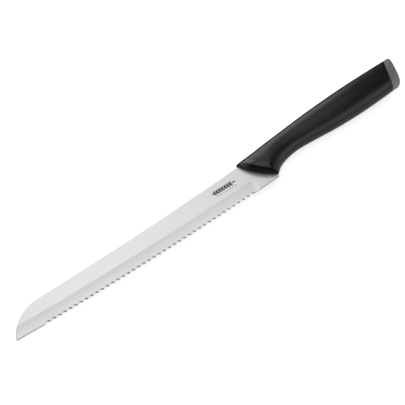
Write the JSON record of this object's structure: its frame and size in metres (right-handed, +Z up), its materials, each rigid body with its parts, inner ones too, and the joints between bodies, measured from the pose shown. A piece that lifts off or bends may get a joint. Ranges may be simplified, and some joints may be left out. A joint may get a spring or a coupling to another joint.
{
  "type": "bread knife",
  "caption": "Serrated bread knife: long scalloped steel blade with a curved tip, in a black soft-grip handle with a glossy collar and a grey end cap.",
  "frame": {"origin": "middle of the footprint of the knife lying on its side, on the surface under the handle", "axes": "+X from the tip to the butt of the handle, +Y from the teeth to the spine, +Z up through the blade's thickness, out of the ground side"},
  "size_m": [0.3332, 0.034, 0.019],
  "materials": {
    "blade_steel": "fine lengthwise satin brushing, with a slightly darker ground band along the teeth",
    "collar_gloss": "polished black",
    "core_plastic": "as moulded, hidden inside the handle",
    "grip_soft": "fine satin soft-touch texture",
    "cap_grey": "fine satin texture, warm mid grey"
  },
  "bodies": {
    "root": {"blade": "blade_steel", "front_collar": "collar_gloss", "handle_core": "core_plastic", "grip_sleeve": "grip_soft", "end_cap": "cap_grey"}
  },
  "joints": []
}
